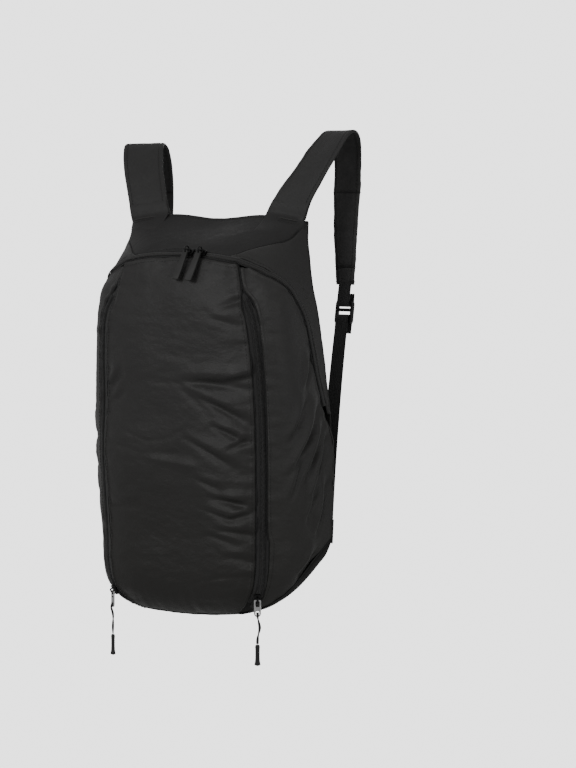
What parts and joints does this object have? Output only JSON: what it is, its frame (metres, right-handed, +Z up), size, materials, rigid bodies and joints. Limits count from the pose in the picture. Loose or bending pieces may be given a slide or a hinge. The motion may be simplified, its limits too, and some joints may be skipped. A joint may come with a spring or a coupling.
{
  "type": "packable backpack",
  "caption": "Light hollow cloth backpack with an arch zip at the top, upright front zips with cord pulls, and tapered shoulder straps with webbing adjusters.",
  "frame": {"origin": "midway between the shoulder straps, where their crests rest on the wearer's shoulders", "axes": "+Z up, +Y towards the wearer's back, so -Y is the bag's front, and +X to the right as seen from the front"},
  "size_m": [0.3092, 0.1739, 0.591],
  "materials": {
    "cloth": "satin thin nylon",
    "back_cloth": "matt thin nylon",
    "base_cloth": "matt coated nylon",
    "zip": "woven tape and nylon coil",
    "slider": "black enamel",
    "metal": "polished nickel",
    "rubber": "moulded, matt",
    "cord": "braided",
    "webbing": "woven",
    "plastic": "moulded"
  },
  "bodies": {
    "bag": {"front_centre_panel": "cloth", "yoke_panel": "cloth", "back_panel": "back_cloth", "base_panel": "base_cloth", "front_side_panel_left": "cloth", "side_gusset_left": "cloth", "front_side_panel_right": "cloth", "side_gusset_right": "cloth", "main_zip_tape": "zip", "main_zip_coil": "zip", "main_slider_left": "slider", "main_pull_ring_left": "metal", "main_pull_tab_left": "rubber", "main_slider_right": "slider", "main_pull_ring_right": "metal", "main_pull_tab_right": "rubber", "front_zip_tape_left": "zip", "front_zip_coil_left": "zip", "front_slider_left": "slider", "front_zip_tape_right": "zip", "front_zip_coil_right": "zip", "front_slider_right": "slider", "strap_left": "cloth", "strap_webbing_upper_left": "webbing", "ladder_lock_left": "plastic", "strap_webbing_lower_left": "webbing", "webbing_anchor_left": "webbing", "strap_right": "cloth", "strap_webbing_upper_right": "webbing", "ladder_lock_right": "plastic", "strap_webbing_lower_right": "webbing", "webbing_anchor_right": "webbing"},
    "left_pull": {"front_puller_left": "metal", "front_pull_cord_left": "cord", "front_cord_end_left": "rubber"},
    "right_pull": {"front_puller_right": "metal", "front_pull_cord_right": "cord", "front_cord_end_right": "rubber"}
  },
  "joints": [
    {"name": "left_pull_swing", "type": "hinge", "parent": "bag", "child": "left_pull", "pos_m": [-0.09666, -0.1158, -0.50833], "axis": [-0.8089, 0.588, 0], "range_deg": [-20, 120]},
    {"name": "right_pull_swing", "type": "hinge", "parent": "bag", "child": "right_pull", "pos_m": [0.09666, -0.1158, -0.50833], "axis": [-0.8089, -0.588, 0], "range_deg": [-20, 120]}
  ]
}
